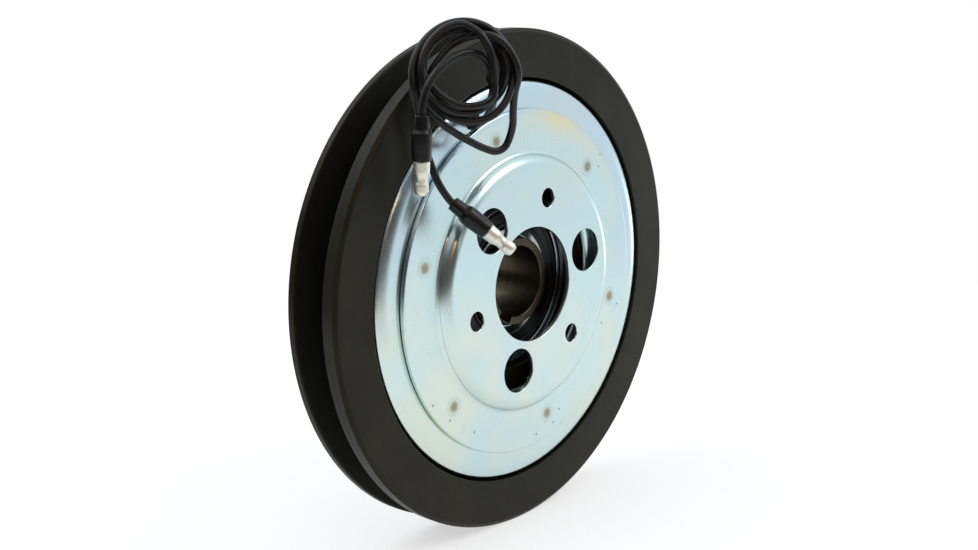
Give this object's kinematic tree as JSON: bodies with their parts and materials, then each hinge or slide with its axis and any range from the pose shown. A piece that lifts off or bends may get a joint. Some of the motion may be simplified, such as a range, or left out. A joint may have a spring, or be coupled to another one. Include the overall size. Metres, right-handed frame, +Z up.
{
  "type": "electromagnetic clutch",
  "caption": "Stationary-field electromagnetic clutch: single-groove belt pulley on a bearing, zinc-plated coil housing and mounting plate, keyed hub, sprung armature and two coiled leads.",
  "frame": {"origin": "on the shaft axis, in the plane of the mounting plate's machine face", "axes": "+Y along the shaft axis from the machine into the clutch, +Z up as displayed, +X to the right seen from the machine"},
  "size_m": [0.178, 0.0622, 0.1837],
  "materials": {
    "zinc_plate": "bright blue-white zinc plate on pressed sheet, faint yellow and blue iridescence",
    "black_steel": "satin black phosphate on turned steel, mottled",
    "hub_steel": "dark machined steel with a fine turned finish",
    "armature_steel": "ground and phosphated steel friction plate",
    "bearing_steel": "polished bearing steel",
    "seal_rubber": "smooth black seal rubber",
    "grommet_rubber": "matt black moulded rubber",
    "cage_nylon": "moulded nylon",
    "bobbin_nylon": "moulded nylon",
    "winding_copper": "enamelled copper wire, wound in layers",
    "potting_resin": "cast epoxy resin, slightly rippled",
    "spring_steel": "blue-grey tempered strip",
    "rivet_steel": "zinc plated rivets, dulled",
    "wire_pvc": "smooth black PVC insulation",
    "sleeve_vinyl": "glossy black soft vinyl",
    "bullet_tin": "bright tin plate on brass"
  },
  "bodies": {
    "field": {"mounting_plate": "zinc_plate", "coil_shell": "zinc_plate", "coil_bobbin": "bobbin_nylon", "coil_winding": "winding_copper", "coil_potting": "potting_resin", "lead_grommet": "grommet_rubber", "lead_a_root": "wire_pvc", "lead_b_root": "wire_pvc", "lead_a_tail": "wire_pvc", "lead_b_slack": "wire_pvc", "lead_b_tail": "wire_pvc", "lead_coil": "wire_pvc", "sleeve_a": "sleeve_vinyl", "sleeve_b": "sleeve_vinyl", "bullet_a": "bullet_tin", "bullet_b": "bullet_tin"},
    "hub": {"shaft_hub": "hub_steel", "bearing_inner_race": "bearing_steel", "air_gap_shim": "bearing_steel", "leaf_spring_1": "spring_steel", "leaf_spring_2": "spring_steel", "leaf_spring_3": "spring_steel", "hub_rivet_1": "rivet_steel", "hub_rivet_2": "rivet_steel", "hub_rivet_3": "rivet_steel"},
    "pulley": {"pulley_rim": "black_steel", "rotor": "black_steel", "bearing_outer_race": "bearing_steel", "bearing_front_seal": "seal_rubber", "bearing_rear_seal": "seal_rubber", "bearing_snap_ring": "spring_steel"},
    "cage": {"bearing_cage": "cage_nylon", "ball_1": "bearing_steel", "ball_2": "bearing_steel", "ball_3": "bearing_steel", "ball_4": "bearing_steel", "ball_5": "bearing_steel", "ball_6": "bearing_steel", "ball_7": "bearing_steel", "ball_8": "bearing_steel", "ball_9": "bearing_steel"},
    "armature": {"armature_plate": "armature_steel", "armature_rivet_1": "rivet_steel", "armature_rivet_2": "rivet_steel", "armature_rivet_3": "rivet_steel"}
  },
  "joints": [
    {"name": "hub_spin", "type": "hinge", "parent": "field", "child": "hub", "pos_m": [0, 0.02, 0], "axis": [0, 1, 0], "continuous": true},
    {"name": "pulley_spin", "type": "hinge", "parent": "hub", "child": "pulley", "pos_m": [0, 0.0188, 0], "axis": [0, 1, 0], "continuous": true},
    {"name": "cage_spin", "type": "hinge", "parent": "hub", "child": "cage", "pos_m": [0, 0.0188, 0], "axis": [0, 1, 0], "continuous": true},
    {"name": "armature_travel", "type": "slide", "parent": "hub", "child": "armature", "axis": [0, -1, 0], "range_m": [0, 0.00045], "stiffness_N_per_m": 20000, "deforming": ["leaf_spring_1", "leaf_spring_2", "leaf_spring_3"]}
  ],
  "couplings": [
    {"joint": "cage_spin", "follows": "pulley_spin", "ratio": 0.6035}
  ]
}
